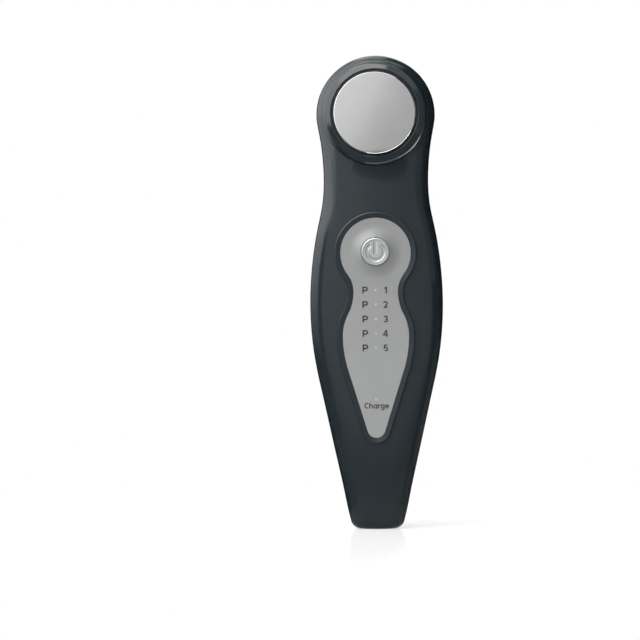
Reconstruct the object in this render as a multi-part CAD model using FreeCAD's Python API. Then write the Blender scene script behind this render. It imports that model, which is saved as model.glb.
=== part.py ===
import FreeCAD
import Part

import math
import os

from FreeCAD import Vector

# Treatment head, measured across from its centre outwards
plate_diameter = 32.5
bore_gap = 0.2
seal_width = 0.85
collar_lip_width = 0.45
collar_slope_width = 3.15
head_rim_width = 2.9

# Casing outline, seen from the front
foot_width = 20.1
foot_corner = 3.0
foot_edge = 1.8
belly_above_foot = 90.0
neck_above_belly = 49.4
head_above_neck = 26.8
neck_drop = 2.8
belly_swell = 5.68
belly_share = 0.70
belly_fall_share = 0.62

# Casing depth, measured from the joint plane between the covers
front_depth = 11.0
rear_head_depth = 11.0
foot_depth = 8.5
chin_height = 40.0
wall = 2.0
small_ease = 0.4
cut_overrun = 1.0
front_flank = 0.58
rear_flank = 0.42
neck_edge_run = 4.2
belly_edge_run = 2.8
rear_edge_share = 0.36
edge_level = 0.97

# Joint between the covers
tongue_inset = 1.05
tongue_thickness = 0.8
tongue_height = 1.5
tongue_gap = 0.15

# Stack of the treatment head, front to back
plate_proud = 0.6
plate_thickness = 1.2
plate_skirt = 1.0
plate_bevel = 0.15
collar_rise = 1.4
collar_edge_height = 1.0
collar_ease = 2.4
lip_ease = 0.5
collar_sink = 2.4
trim_gap = 0.1
seal_groove = 1.4
seal_drop = 0.3
seal_gap = 0.2
seal_ease = 0.25
shelf_thickness = 2.4
gasket_thickness = 0.8
flange_width = 1.1
flange_thickness = 0.8
clamp_rim_width = 2.0
clamp_thickness = 1.6
transducer_diameter = 25.0
transducer_thickness = 2.2

# Control panel, heights chained down from the button
button_above_belly = 20.8
panel_centre_drop = 0.4
panel_top_radius = 14.05
waist_below_button = 15.9
waist_pinch = 5.2
bulge_below_waist = 17.5
bulge_swell = 4.34
bulge_share = 0.49
bulge_fall_radius = 46.0
tip_below_bulge = 40.75
tip_radius = 3.6
border_width = 2.4
border_height = 0.5
border_lip = 0.6
border_ease = 0.45
panel_sink = 0.2
panel_reveal = 0.1
panel_thickness = 1.2
panel_gap = 0.12
mound_reach = 11.2
mound_radius = 8.3
mound_top_radius = 6.0
mound_height = 1.6
mound_ease = 0.5
mound_foot_ease = 7.8

# Power button and the switch under it
button_diameter = 11.2
button_gap = 0.3
button_proud = 0.5
button_dish = 0.25
button_ring = 0.85
button_flange = 0.7
button_flange_thickness = 0.9
button_lid = 1.3
button_rest_gap = 0.05
stem_radius = 2.0
switch_side = 6.0
switch_height = 3.1
plunger_radius = 1.7
plunger_gap = 0.05
plunger_height = 0.9
plunger_length = 2.6
plunger_room = 0.6

# Indicator lights
first_light_below_button = 15.2
light_pitch = 5.77
light_count = 5
charge_light_above_tip = 15.4
light_radius = 0.5
light_gap = 0.05
led_width = 1.6
led_length = 0.8
led_height = 0.8

# Circuit board and what stands on it
board_face = 5.2
board_thickness = 1.6
board_half_width = 17.0
board_tail_half_width = 4.8
board_tail_top = 54.0
board_shoulder = 8.0
board_above_button = 13.2
board_screw_spread = 13.5
board_screw_above_button = 7.2
board_screw_above_shoulder = 3.8
chip_side = 9.0
chip_height = 1.4
transformer_width = 9.0
transformer_length = 9.0
transformer_height = 7.6
transformer_offset = 5.0
transformer_edge_gap = 1.5
connector_width = 6.0
connector_length = 4.5
connector_height = 3.0
connector_offset = 4.25
connector_edge_gap = 1.0
connector_gap = 2.0

# Battery behind the board
battery_width = 26.0
battery_length = 47.0
battery_thickness = 7.0
battery_corner = 1.5
battery_front = 0.9
battery_top_below_button = 7.8
pad_thickness = 1.0
pad_border = 1.5
rib_thickness = 1.6
rib_half_width = 12.0
rib_from_end = 9.0

# Leads
lead_radius = 0.6
lead_bend_radius = 1.6
lead_spread = 1.5

# Charging socket in the foot
socket_bore_radius = 1.8
socket_bore_depth = 9.5
socket_pin_radius = 0.65
socket_pin_setback = 1.2
socket_nose_radius = 2.8
socket_nose_gap = 0.15
socket_nose_setback = 0.1
socket_half_width = 3.5
socket_length = 11.0
socket_floor_gap = 0.3
socket_root_radius = 0.95
socket_root_gap = 0.5
contact_thickness = 0.3
contact_half_width = 0.9
contact_setback = 2.0

# Screws
case_shank = 1.25
case_head = 2.4
case_head_height = 1.8
case_seat = 3.0
case_reach = 6.5
case_boss = 4.0
case_upper_spread = 13.0
case_upper_below_neck = 1.4
case_lower_spread = 11.0
case_lower_height = 34.0
small_shank = 0.9
small_head = 1.7
small_head_height = 1.2
small_boss = 2.3
clamp_shank = 0.8
clamp_head = 1.4
screw_play = 0.2
thread_play = 0.02
pilot_floor = 1.0

# Radii of the head
plate_radius = plate_diameter / 2
collar_bore = plate_radius + bore_gap
seal_outer = collar_bore + seal_width
lip_radius = seal_outer + collar_lip_width
collar_radius = lip_radius + collar_slope_width
head_radius = collar_radius + head_rim_width
flange_radius = plate_radius + flange_width
clamp_inner = plate_radius - 1.5 * plate_skirt
clamp_step = flange_radius + bore_gap
clamp_radius = clamp_step + clamp_rim_width

# Heights above the foot
belly_height = belly_above_foot
neck_height = belly_height + neck_above_belly
head_height = neck_height + head_above_neck
button_height = belly_height + button_above_belly
panel_centre = button_height - panel_centre_drop
waist_height = button_height - waist_below_button
bulge_height = waist_height - bulge_below_waist
tip_height = bulge_height - tip_below_bulge
first_light_height = button_height - first_light_below_button
charge_light_height = tip_height + charge_light_above_tip
board_top = button_height + board_above_button
board_shoulder_top = board_tail_top + board_shoulder
battery_top = button_height - battery_top_below_button
battery_bottom = battery_top - battery_length

# Depths forward of the joint plane
collar_seat = front_depth - collar_sink
collar_edge = front_depth + collar_edge_height
collar_lip = collar_edge + collar_rise
plate_face = collar_lip + plate_proud
plate_back = plate_face - plate_thickness
shelf_back = collar_seat - shelf_thickness
flange_front = shelf_back - gasket_thickness
flange_back = flange_front - flange_thickness
clamp_back = flange_back - clamp_thickness
border_face = front_depth + border_height
panel_face = border_face - panel_sink
panel_floor = panel_face - panel_thickness
border_floor = panel_face - panel_reveal
mound_face = panel_face + mound_height
button_face = mound_face + button_proud
button_lid_under = mound_face - button_lid
board_back = board_face - board_thickness
switch_top = board_face + switch_height
plunger_top = switch_top + plunger_height
led_top = board_face + led_height
rear_depth = plate_face

# Tangent arcs of the casing outline
foot_half = foot_width / 2
neck_half = head_radius - neck_drop
belly_half = neck_half + belly_swell
upper_neck_radius = (neck_half ** 2 + head_above_neck ** 2 - head_radius ** 2) / (2 * neck_drop)
flow_radii = (belly_swell ** 2 + neck_above_belly ** 2) / (2 * belly_swell)
belly_radius = belly_share * flow_radii
lower_neck_radius = flow_radii - belly_radius
belly_centre = belly_half - belly_radius
belly_fall_radius = belly_fall_share * flow_radii
belly_fall_centre = belly_half - belly_fall_radius
head_angle = math.asin(head_above_neck / (head_radius + upper_neck_radius))
flow_angle = math.asin(neck_above_belly / flow_radii)
foot_run = foot_half - belly_fall_centre
taper_angle = math.atan2(belly_height, foot_run)
taper_angle -= math.acos(belly_fall_radius / math.hypot(foot_run, belly_height))


def at(x, depth, z):
    """Point given by its distance forward of the joint plane."""
    return Vector(x, -depth, z)


def polar(u, v, radius, angle):
    return (u + radius * math.cos(angle), v + radius * math.sin(angle))


def arc(u, v, radius, start, end):
    """Start, middle and end of an arc about (u, v)."""
    return [polar(u, v, radius, a) for a in (start, (start + end) / 2, end)]


def edge_through(points):
    if len(points) == 2:
        return Part.makeLine(*points)
    return Part.Arc(*points).toShape()


def mirrored_wire(chain, depth):
    """Closed wire from right-hand pieces that run from top centre to bottom centre."""
    right = [edge_through([at(u, depth, v) for u, v in piece]) for piece in chain]
    left = [edge_through([at(-u, depth, v) for u, v in piece]) for piece in chain]
    return Part.Wire(Part.__sortEdges__(right + left))


def rounded_wire(corners, place, bevelled=False):
    """Closed wire through (u, v) or (u, v, radius) corners, rounded or cut straight."""
    points = [Vector(c[0], c[1], 0) for c in corners]
    joins = []
    for i, corner in enumerate(points):
        radius = corners[i][2] if len(corners[i]) > 2 else 0
        if radius == 0:
            joins.append([corner])
            continue
        back = (points[i - 1] - corner).normalize()
        onward = (points[(i + 1) % len(points)] - corner).normalize()
        half_angle = back.getAngle(onward) / 2
        reach = radius / math.tan(half_angle)
        inward = (back + onward).normalize()
        middle = corner + inward * (radius / math.sin(half_angle) - radius)
        if bevelled:
            joins.append([corner + back * radius, corner + onward * radius])
            continue
        joins.append([corner + back * reach, middle, corner + onward * reach])
    edges = []
    for i, join in enumerate(joins):
        if len(join) > 1:
            edges.append(edge_through([place(p.x, p.y) for p in join]))
        start = join[-1]
        end = joins[(i + 1) % len(joins)][0]
        if start.distanceToPoint(end) > 1e-6:
            edges.append(Part.makeLine(place(start.x, start.y), place(end.x, end.y)))
    return Part.Wire(edges)


def box(x0, x1, d0, d1, z0, z1):
    """Block between two widths, two depths and two heights."""
    return Part.makeBox(x1 - x0, d1 - d0, z1 - z0, at(x0, d1, z0))


def rounded_box(x0, x1, d0, d1, z0, z1, corner):
    corners = [(x0, z0, corner), (x1, z0, corner), (x1, z1, corner), (x0, z1, corner)]
    face = Part.Face(rounded_wire(corners, lambda u, v: at(u, d0, v)))
    return face.extrude(at(0, d1 - d0, 0))


def rod(x, z, radius, d0, d1):
    """Cylinder that runs front to back."""
    return Part.makeCylinder(radius, d1 - d0, at(x, d0, z), at(0, 1, 0))


def post(x, depth, radius, z0, z1):
    """Cylinder that runs along the handle."""
    return Part.makeCylinder(radius, z1 - z0, at(x, depth, z0), Vector(0, 0, 1))


def turned(x, z, profile, bevelled=False):
    """Solid turned about a front-to-back axis from (radius, depth) corners."""
    face = Part.Face(rounded_wire(profile, lambda u, v: at(x + u, v, z), bevelled))
    return face.revolve(at(x, 0, z), Vector(0, 1, 0), 360)


def prism(wire, d0, d1):
    """Front-to-back prism between two depths of a wire drawn at d0."""
    return Part.Face(wire).extrude(at(0, d1 - d0, 0))


def screw(x, z, seat, tip, shank, head, head_height):
    """Pan-head screw driven in from the back, with a cross recess."""
    top = seat - head_height
    body = turned(x, z, [(0, top), (head, top, 0.3 * head_height), (head, seat), (shank, seat),
                         (shank, tip, 0.4 * shank), (0, tip)], True)
    arm = 0.62 * head
    slot = 0.14 * head
    floor = top + 0.5 * head_height
    mouth = top - cut_overrun
    cross = box(x - arm, x + arm, mouth, floor, z - slot, z + slot)
    return body.cut([cross, box(x - slot, x + slot, mouth, floor, z - arm, z + arm)])


def lead(points):
    """Round lead along straight runs joined by bends."""
    edges = []
    start = points[0]
    for i in range(1, len(points) - 1):
        back = (points[i - 1] - points[i]).normalize()
        onward = (points[i + 1] - points[i]).normalize()
        enter = points[i] + back * lead_bend_radius
        leave = points[i] + onward * lead_bend_radius
        middle = points[i] + (back + onward) * lead_bend_radius * (1 - math.sqrt(0.5))
        edges.append(Part.makeLine(start, enter))
        edges.append(Part.Arc(enter, middle, leave).toShape())
        start = leave
    edges.append(Part.makeLine(start, points[-1]))
    ring = Part.makeCircle(lead_radius, points[0], points[1] - points[0])
    return Part.Wire(edges).makePipeShell([Part.Wire(ring)], True, False)


# Casing form
def half_width(z, inset):
    """Half width of the outline, drawn in by an inset, at one height."""
    if z >= head_height - (head_radius - inset) * math.sin(head_angle):
        return math.sqrt((head_radius - inset) ** 2 - (z - head_height) ** 2)
    if z >= neck_height:
        reach = math.sqrt((upper_neck_radius + inset) ** 2 - (z - neck_height) ** 2)
        return neck_half + upper_neck_radius - reach
    if z >= belly_height + (belly_radius - inset) * math.sin(flow_angle):
        reach = math.sqrt((lower_neck_radius + inset) ** 2 - (z - neck_height) ** 2)
        return neck_half + lower_neck_radius - reach
    if z >= belly_height:
        return belly_centre + math.sqrt((belly_radius - inset) ** 2 - (z - belly_height) ** 2)
    if z >= belly_height - (belly_fall_radius - inset) * math.sin(taper_angle):
        reach = math.sqrt((belly_fall_radius - inset) ** 2 - (z - belly_height) ** 2)
        return belly_fall_centre + reach
    return foot_half - inset / math.cos(taper_angle) + z * math.tan(taper_angle)


def foot_rounding(inset):
    return max(foot_corner - inset, 0.3 * foot_corner)


def outline(inset, depth):
    """Front outline of the casing, drawn in by an inset."""
    corner = foot_rounding(inset)
    drawn_fall = belly_fall_radius - inset
    corner_top = inset + corner
    corner_middle = inset + corner * (1 - math.sqrt(0.5))
    heel = half_width(inset, inset) - corner
    turn = half_width(corner_middle, inset) - corner * (1 - math.sqrt(0.5))
    taper_start = polar(belly_fall_centre, belly_height, drawn_fall, -taper_angle)
    return mirrored_wire([
        arc(0, head_height, head_radius - inset, math.pi / 2, -head_angle),
        arc(neck_half + upper_neck_radius, neck_height, upper_neck_radius + inset,
            math.pi - head_angle, math.pi),
        arc(neck_half + lower_neck_radius, neck_height, lower_neck_radius + inset,
            math.pi, math.pi + flow_angle),
        arc(belly_centre, belly_height, belly_radius - inset, flow_angle, 0),
        arc(belly_fall_centre, belly_height, drawn_fall, 0, -taper_angle),
        [taper_start, (half_width(corner_top, inset), corner_top)],
        [(half_width(corner_top, inset), corner_top), (turn, corner_middle), (heel, inset)],
        [(heel, inset), (0, inset)],
    ], depth)


def front_reach(z):
    """Depth of the front face, which falls back below the chin height."""
    below = max(0, 1 - z / chin_height)
    return front_depth - (front_depth - foot_depth) * below ** 2


def rear_reach(z):
    """Depth of the back, fullest at the belly."""
    if z <= belly_height:
        return foot_depth + (rear_depth - foot_depth) * math.sin(math.pi / 2 * z / belly_height)
    share = (z - belly_height) / (head_height - belly_height)
    return rear_depth - (rear_depth - rear_head_depth) * (1 - math.cos(math.pi * share)) / 2


def front_run(z):
    """Width of the rounded edge of the front, which narrows from the neck to the belly."""
    share = min(max((z - belly_height) / neck_above_belly, 0), 1)
    return belly_edge_run + (neck_edge_run - belly_edge_run) * (1 - math.cos(math.pi * share)) / 2


def section_curve(z, inset, shrink, front):
    """Half section of the casing across one height, from the left edge to the right."""
    width = half_width(z, inset) - shrink
    depth = (front_reach(z) if front else rear_reach(z)) - inset - shrink * foot_edge / foot_corner
    flank = (front_flank if front else rear_flank) * depth
    run = min(front_run(z), width / 2) if front else rear_edge_share * width
    crown = (1.5 - 0.5 * edge_level) * depth
    level = edge_level * depth
    side = 1 if front else -1
    poles = [(-width, 0), (-width, flank), (run - width, level), (0, crown),
             (width - run, level), (width, flank), (width, 0)]
    curve = Part.BSplineCurve()
    curve.buildFromPolesMultsKnots([at(x, side * d, z) for x, d in poles],
                                   [4, 1, 1, 1, 4], [0, 1, 2, 3, 4], False, 3)
    return curve


def section(z, inset, shrink, front):
    curve = section_curve(z, inset, shrink, front).toShape()
    chord = Part.makeLine(curve.Vertexes[-1].Point, curve.Vertexes[0].Point)
    return Part.Wire([curve, chord])


def steps(start, end, count):
    return [start + (end - start) * i / count for i in range(1, count + 1)]


def casing_half(inset, front):
    """Solid half of the casing: rounded foot, flowing handle and turned head."""
    corner = foot_rounding(inset)
    foot = []
    for angle in [math.pi / 2 * i / 6 for i in range(7)]:
        shrink = corner * (1 - math.sin(angle))
        foot.append(section(inset + corner * (1 - math.cos(angle)), inset, shrink, front))
    head_join = head_height - (head_radius - inset) * math.sin(head_angle)
    heights = [inset + corner]
    heights += steps(heights[-1], belly_height, 7)
    heights += steps(belly_height, neck_height, 5)
    heights += steps(neck_height, head_join, 4)
    heights += steps(head_join, head_height, 2)
    handle = Part.makeLoft([section(z, inset, 0, front) for z in heights], True, False)
    curve = section_curve(head_height, inset, 0, front)
    curve.segment(0, 2)
    centre = at(0, 0, head_height)
    quarter = Part.Wire([curve.toShape(), Part.makeLine(curve.value(2), centre),
                         Part.makeLine(centre, curve.value(0))])
    head = Part.Face(quarter).revolve(centre, Vector(0, 1, 0), 180)
    return handle.fuse([head, Part.makeLoft(foot, True, False)]).removeSplitter()


# Control panel outline
waist_half = panel_top_radius - waist_pinch
bulge_half = waist_half + bulge_swell
waist_below_centre = panel_centre - waist_height
upper_waist_radius = waist_half ** 2 + waist_below_centre ** 2 - panel_top_radius ** 2
upper_waist_radius /= 2 * waist_pinch
bulge_flow = (bulge_swell ** 2 + bulge_below_waist ** 2) / (2 * bulge_swell)
bulge_rise_radius = bulge_share * bulge_flow
lower_waist_radius = bulge_flow - bulge_rise_radius
waist_angle = math.asin(waist_below_centre / (panel_top_radius + upper_waist_radius))
bulge_angle = math.asin(bulge_below_waist / bulge_flow)
fall_centre = bulge_half - bulge_fall_radius
tip_centre = tip_height + tip_radius
tip_run = math.hypot(fall_centre, bulge_height - tip_centre)
tip_angle = math.atan2(bulge_height - tip_centre, fall_centre)
tip_angle -= math.acos((tip_radius - bulge_fall_radius) / tip_run)


def panel_outline(offset, depth):
    """Keyhole outline of the panel, widened by an offset."""
    return mirrored_wire([
        arc(0, panel_centre, panel_top_radius + offset, math.pi / 2, -waist_angle),
        arc(waist_half + upper_waist_radius, waist_height, upper_waist_radius - offset,
            math.pi - waist_angle, math.pi),
        arc(waist_half + lower_waist_radius, waist_height, lower_waist_radius - offset,
            math.pi, math.pi + bulge_angle),
        arc(bulge_half - bulge_rise_radius, bulge_height, bulge_rise_radius + offset,
            bulge_angle, 0),
        arc(fall_centre, bulge_height, bulge_fall_radius + offset, 0, tip_angle),
        [polar(fall_centre, bulge_height, bulge_fall_radius + offset, tip_angle),
         polar(0, tip_centre, tip_radius + offset, tip_angle)],
        arc(0, tip_centre, tip_radius + offset, tip_angle, -math.pi / 2),
    ], depth)


# Places shared by several pieces
light_heights = [first_light_height - i * light_pitch for i in range(light_count)]
all_light_heights = light_heights + [charge_light_height]
board_screw_places = [(side * board_screw_spread, z) for side in (-1, 1)
                      for z in (button_height + board_screw_above_button,
                                board_shoulder_top + board_screw_above_shoulder)]
case_screw_places = [(side * case_upper_spread, neck_height - case_upper_below_neck)
                     for side in (-1, 1)]
case_screw_places += [(side * case_lower_spread, case_lower_height) for side in (-1, 1)]
clamp_circle = clamp_step + clamp_rim_width / 2
clamp_screw_places = [polar(0, head_height, clamp_circle, math.radians(a)) for a in (90, 210, 330)]
socket_hole = post(0, 0, socket_nose_radius + socket_nose_gap, -cut_overrun, wall + cut_overrun)

# Front cover
front_core = casing_half(wall / 2, True)
border_root = front_depth - wall / 2
border = prism(panel_outline(border_width, border_root), border_root, border_face)
rim_edges = [e for e in border.Edges if e.BoundBox.YMax < -border_face + 1e-4]
border = border.makeFillet(border_ease, rim_edges)
shelf = turned(0, head_height, [(collar_bore, shelf_back), (head_radius, shelf_back),
                                (head_radius, collar_seat), (collar_bore, collar_seat)])
bosses = [rod(x, z, small_boss, board_face, front_depth) for x, z in board_screw_places]
bosses += [rod(x, z, case_boss, 0, front_depth) for x, z in case_screw_places]
front_parts = [piece.common(front_core) for piece in bosses + [shelf]]
front_cover = casing_half(0, True).cut(casing_half(wall, True))
front_cover = front_cover.fuse(front_parts + [border]).removeSplitter()
button_room = button_diameter / 2 + button_flange + 3 * button_gap
groove_inset = tongue_inset - tongue_gap
groove_depth = tongue_height + tongue_gap
groove = prism(outline(groove_inset, 0), 0, groove_depth)
groove = groove.cut(prism(outline(wall + tongue_thickness, 0), 0, groove_depth))
border_inner = border_width - border_lip
border_slope = (border_inner - panel_gap) / (border_face - border_floor)
border_overrun = border_inner + border_slope * cut_overrun
border_dish = Part.makeLoft([
    panel_outline(panel_gap, border_floor),
    panel_outline(border_overrun, border_face + cut_overrun)], True, True)
front_cuts = [
    border_dish,
    rod(0, head_height, collar_radius + trim_gap, collar_seat, plate_face),
    rod(0, head_height, collar_bore, 0, plate_face),
    prism(panel_outline(panel_gap, panel_floor), panel_floor, border_face + cut_overrun),
    rod(0, button_height, button_room, board_face, panel_face),
    groove,
    socket_hole,
]
front_cuts += [rod(0, z, light_radius + light_gap, board_face, panel_face) for z in all_light_heights]
front_cuts += [rod(x, z, small_shank + thread_play, 0, panel_floor - pilot_floor)
               for x, z in board_screw_places]
front_cuts += [rod(x, z, case_shank + thread_play, -cut_overrun, case_reach + pilot_floor)
               for x, z in case_screw_places]
front_cuts += [rod(x, z, clamp_shank + thread_play, 0, collar_seat - pilot_floor / 2)
               for x, z in clamp_screw_places]
for cut in front_cuts:
    front_cover = front_cover.cut(cut)

# Rear cover
rear_core = casing_half(wall / 2, False)
tongue_root = -wall / 4
tongue = prism(outline(tongue_inset, tongue_root), tongue_root, tongue_height)
tongue = tongue.cut(prism(outline(tongue_inset + tongue_thickness, tongue_root), tongue_root, tongue_height))
rear_bosses = [rod(x, z, case_boss, -rear_depth, 0) for x, z in case_screw_places]
pad_back = battery_front + battery_thickness + pad_thickness
ribs = [box(-rib_half_width, rib_half_width, -rear_depth, -pad_back, z - rib_thickness / 2,
            z + rib_thickness / 2) for z in (battery_bottom + rib_from_end, battery_top - rib_from_end)]
rear_parts = [piece.common(rear_core) for piece in rear_bosses + ribs]
rear_cover = casing_half(0, False).cut(casing_half(wall, False))
rear_cover = rear_cover.fuse(rear_parts + [tongue]).removeSplitter()
rear_cuts = [socket_hole]
rear_cuts += [rod(x, z, case_shank + screw_play, -rear_depth, cut_overrun) for x, z in case_screw_places]
rear_cuts += [rod(x, z, case_head + screw_play, -rear_depth - cut_overrun, -case_seat)
              for x, z in case_screw_places]
for cut in rear_cuts:
    rear_cover = rear_cover.cut(cut)

# Treatment head
seal_floor = collar_lip - seal_groove
head_collar = turned(0, head_height, [
    (collar_bore, collar_seat), (collar_radius, collar_seat), (collar_radius, collar_edge, collar_ease),
    (lip_radius, collar_lip, lip_ease), (seal_outer, collar_lip, lip_ease / 2),
    (seal_outer, seal_floor), (collar_bore, seal_floor)])
seal_edge = seal_outer - seal_gap
seal_top = collar_lip - seal_drop
head_seal = turned(0, head_height, [
    (collar_bore, seal_floor), (seal_edge, seal_floor), (seal_edge, seal_top, seal_ease),
    (collar_bore, seal_top, seal_ease)])
skirt_inner = plate_radius - plate_skirt
treatment_plate = turned(0, head_height, [
    (0, plate_back), (skirt_inner, plate_back), (skirt_inner, flange_back),
    (flange_radius, flange_back), (flange_radius, flange_front), (plate_radius, flange_front),
    (plate_radius, plate_face, plate_bevel), (0, plate_face)], True)
plate_gasket = turned(0, head_height, [
    (collar_bore, flange_front), (flange_radius, flange_front), (flange_radius, shelf_back),
    (collar_bore, shelf_back)])
transducer_disc = rod(0, head_height, transducer_diameter / 2, plate_back - transducer_thickness,
                      plate_back)
head_clamp_ring = turned(0, head_height, [
    (clamp_inner, clamp_back), (clamp_radius, clamp_back, small_ease), (clamp_radius, shelf_back),
    (clamp_step, shelf_back), (clamp_step, flange_back), (clamp_inner, flange_back)], True)
head_clamp_ring = head_clamp_ring.cut([rod(x, z, clamp_shank + thread_play, 0, shelf_back)
                                       for x, z in clamp_screw_places])
clamp_screws = [screw(x, z, clamp_back, collar_seat - pilot_floor, clamp_shank, clamp_head,
                      small_head_height) for x, z in clamp_screw_places]

# Control panel
button_hole = button_diameter / 2 + button_gap
mound = turned(0, button_height, [
    (0, panel_floor), (mound_reach, panel_floor), (mound_reach, panel_face),
    (mound_radius, panel_face, mound_foot_ease), (mound_top_radius, mound_face, mound_ease),
    (0, mound_face)])
control_panel = prism(panel_outline(0, panel_floor), panel_floor, panel_face).fuse(mound)
panel_cuts = [rod(0, button_height, button_hole, 0, mound_face + cut_overrun)]
panel_cuts.append(rod(0, button_height, button_room, 0, button_lid_under))
panel_cuts += [rod(0, z, light_radius + light_gap, 0, mound_face) for z in all_light_heights]
control_panel = control_panel.removeSplitter().cut(panel_cuts)

# Power button and switch
button_radius = button_diameter / 2
flange_rest = button_lid_under - button_rest_gap
flange_under = flange_rest - button_flange_thickness
dish_radius = button_radius - button_ring
power_button = turned(0, button_height, [
    (0, plunger_top), (stem_radius, plunger_top), (stem_radius, flange_under),
    (button_radius + button_flange, flange_under), (button_radius + button_flange, flange_rest),
    (button_radius, flange_rest), (button_radius, button_face, small_ease),
    (dish_radius + button_dish / 2, button_face), (dish_radius, button_face - button_dish),
    (0, button_face - button_dish)])
half_switch = switch_side / 2
switch_body = rounded_box(-half_switch, half_switch, board_face, switch_top,
                          button_height - half_switch, button_height + half_switch, small_ease)
plunger_foot = plunger_top - plunger_length
switch_body = switch_body.cut(rod(0, button_height, plunger_radius + plunger_gap,
                                  plunger_foot - plunger_room, switch_top))
switch_plunger = turned(0, button_height, [
    (0, plunger_foot), (plunger_radius, plunger_foot), (plunger_radius, plunger_top, small_ease / 2),
    (0, plunger_top)], True)


# Indicator lights
def light_pipe(z):
    """Clear pin from its lamp to just proud of the panel."""
    tip = panel_face + light_gap
    return turned(0, z, [(0, led_top), (light_radius, led_top), (light_radius, tip, light_gap), (0, tip)],
                  True)


def led(z):
    half = led_width / 2
    lens = 0.7 * half
    bottom = z - led_length / 2
    top = z + led_length / 2
    base = box(-half, half, board_face, board_face + led_height / 2, bottom, top)
    return base.fuse(box(-lens, lens, board_face, led_top, bottom, top)).removeSplitter()


programme_light_pipes = [light_pipe(z) for z in light_heights]
charge_light_pipe = light_pipe(charge_light_height)
programme_leds = [led(z) for z in light_heights]
charge_led = led(charge_light_height)

# Circuit board
board_bottom = wall + 2 * socket_floor_gap
tail_corner = board_tail_half_width / 4
board_corner = board_half_width / 6
board_corners = [
    (-board_tail_half_width, board_bottom, tail_corner),
    (board_tail_half_width, board_bottom, tail_corner),
    (board_tail_half_width, board_tail_top, tail_corner),
    (board_half_width, board_shoulder_top, board_corner),
    (board_half_width, board_top, board_corner),
    (-board_half_width, board_top, board_corner),
    (-board_half_width, board_shoulder_top, board_corner),
    (-board_tail_half_width, board_tail_top, tail_corner),
]
board_wire = rounded_wire(board_corners, lambda u, v: at(u, board_back, v))
circuit_board = prism(board_wire, board_back, board_face)
circuit_board = circuit_board.cut([rod(x, z, small_shank + screw_play / 2, 0, board_face)
                                   for x, z in board_screw_places])
board_screws = [screw(x, z, board_back, panel_floor - 2 * pilot_floor, small_shank, small_head,
                      small_head_height) for x, z in board_screw_places]


def on_board(x, z, width, length, height):
    """Moulded block on the back of the board, centred at (x, z)."""
    return rounded_box(x - width / 2, x + width / 2, board_back - height, board_back,
                       z - length / 2, z + length / 2, small_ease)


controller_chip = on_board(0, first_light_height - light_pitch, chip_side, chip_side, chip_height)
transformer_centre = board_top - transformer_edge_gap - transformer_length / 2
drive_transformer = on_board(-transformer_offset, transformer_centre, transformer_width,
                             transformer_length, transformer_height)
winding_window = transformer_length / 5
for side in (-1, 1):
    window_x = -transformer_offset + side * transformer_width / 4
    drive_transformer = drive_transformer.cut(box(
        window_x - winding_window / 2, window_x + winding_window / 2,
        board_back - transformer_height, board_back - transformer_height / 2,
        transformer_centre - winding_window, transformer_centre + winding_window))
head_connector_top = board_top - connector_edge_gap
battery_connector_bottom = head_connector_top - 2 * connector_length - connector_gap
head_connector = on_board(connector_offset, head_connector_top - connector_length / 2,
                          connector_width, connector_length, connector_height)
battery_connector = on_board(connector_offset, battery_connector_bottom + connector_length / 2,
                             connector_width, connector_length, connector_height)

# Battery
battery_back = battery_front + battery_thickness
half_battery = battery_width / 2
battery_pack = rounded_box(-half_battery, half_battery, -battery_back, -battery_front,
                           battery_bottom, battery_top, battery_corner)
battery_pad = box(pad_border - half_battery, half_battery - pad_border, -pad_back, -battery_back,
                  battery_bottom + pad_border, battery_top - pad_border)

# Leads
lead_depth = board_back - connector_height / 2
lead_places = [connector_offset - lead_spread, connector_offset + lead_spread]
disc_back = plate_back - transducer_thickness
disc_contact_height = head_height - 0.3 * transducer_diameter
battery_lead_depth = -(battery_front + battery_thickness / 2)
battery_lead_turn = (battery_top + battery_connector_bottom) / 2
head_leads = [lead([at(x, lead_depth, head_connector_top), at(x, lead_depth, disc_contact_height),
                    at(x, disc_back, disc_contact_height)]) for x in lead_places]
battery_leads = [lead([at(x, battery_lead_depth, battery_top),
                       at(x, battery_lead_depth, battery_lead_turn),
                       at(x, lead_depth, battery_lead_turn),
                       at(x, lead_depth, battery_connector_bottom)]) for x in lead_places]

# Charging socket
socket_bottom = wall + socket_floor_gap
socket_top = socket_bottom + socket_length
bore_top = socket_nose_setback + socket_bore_depth
root_top = socket_top - socket_root_gap
contact_bottom = socket_bottom + contact_setback
socket_bore = post(0, 0, socket_bore_radius, socket_nose_setback, bore_top)
pin_root = post(0, 0, socket_root_radius, bore_top, root_top)
socket_contact = box(socket_bore_radius, socket_bore_radius + contact_thickness, -contact_half_width,
                     contact_half_width, contact_bottom, socket_top)
charge_socket = box(-socket_half_width, socket_half_width, -socket_half_width, board_back,
                    socket_bottom, socket_top)
charge_socket = charge_socket.fuse(post(0, 0, socket_nose_radius, socket_nose_setback,
                                        socket_bottom + socket_floor_gap)).removeSplitter()
charge_socket = charge_socket.cut([socket_bore, pin_root, socket_contact])
socket_pin = post(0, 0, socket_pin_radius, socket_pin_setback, bore_top)
nose_edges = [e for e in socket_pin.Edges if e.BoundBox.ZMax < socket_pin_setback + 1e-4]
socket_pin = socket_pin.makeChamfer(socket_pin_radius / 4, nose_edges).fuse(pin_root).removeSplitter()

# Case screws
case_screws = [screw(x, z, -case_seat, case_reach, case_shank, case_head, case_head_height)
               for x, z in case_screw_places]

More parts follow.
